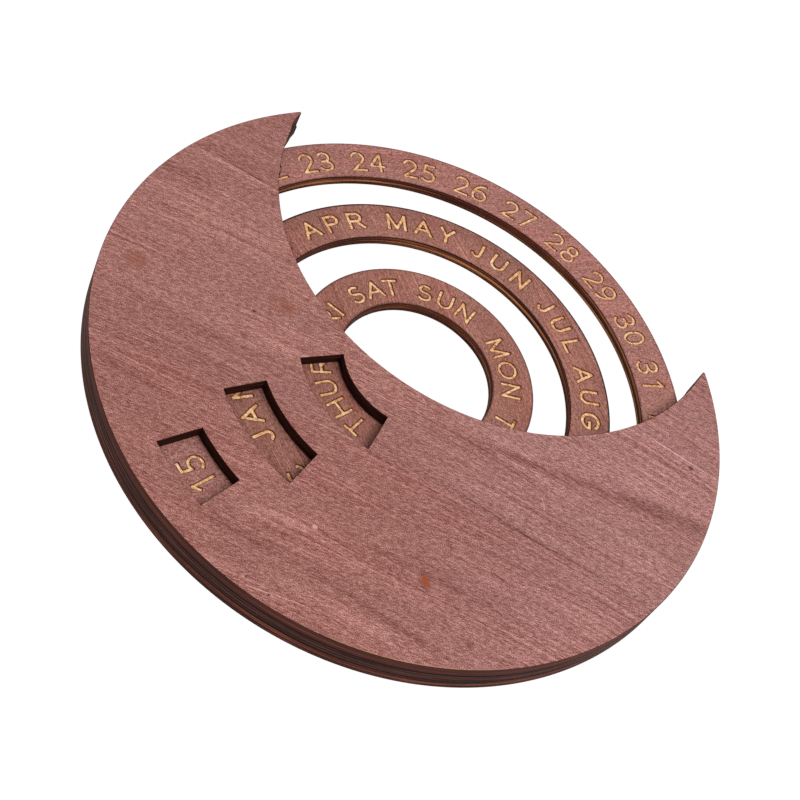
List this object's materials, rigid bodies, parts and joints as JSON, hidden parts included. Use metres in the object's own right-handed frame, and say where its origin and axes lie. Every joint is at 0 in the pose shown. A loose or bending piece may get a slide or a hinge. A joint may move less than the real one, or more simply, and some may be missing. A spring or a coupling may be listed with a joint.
{
  "type": "perpetual desk calendar",
  "caption": "Flat wooden perpetual calendar: date, month and weekday rings turn between crescent plates, under windows in the front plate.",
  "frame": {"origin": "where the rings' common axis meets the plane of the back face", "axes": "+Z out of the front face, +Y from the rings' axis to the windows, +X to the right as the windows are read"},
  "size_m": [0.16, 0.1527, 0.009],
  "materials": {
    "face_ply": "stained plywood, matt, with dark laser-cut edges",
    "back_ply": "stained plywood, matt, with dark laser-cut edges",
    "core_ply": "stained plywood, seen at its burnt edges",
    "ring_ply": "stained plywood, matt, with engraved characters"
  },
  "bodies": {
    "body": {"front_plate": "face_ply", "outer_rim": "core_ply", "outer_guide": "core_ply", "inner_guide": "core_ply", "hub": "core_ply", "back_plate": "back_ply"},
    "date": {"date_ring": "ring_ply"},
    "month": {"month_ring": "ring_ply"},
    "weekday": {"weekday_ring": "ring_ply"}
  },
  "joints": [
    {"name": "date_turn", "type": "hinge", "parent": "body", "child": "date", "pos_m": [0, 0, 0.0045], "axis": [0, 0, 1], "continuous": true},
    {"name": "month_turn", "type": "hinge", "parent": "body", "child": "month", "pos_m": [0, 0, 0.0045], "axis": [0, 0, 1], "continuous": true},
    {"name": "weekday_turn", "type": "hinge", "parent": "body", "child": "weekday", "pos_m": [0, 0, 0.0045], "axis": [0, 0, 1], "continuous": true}
  ]
}
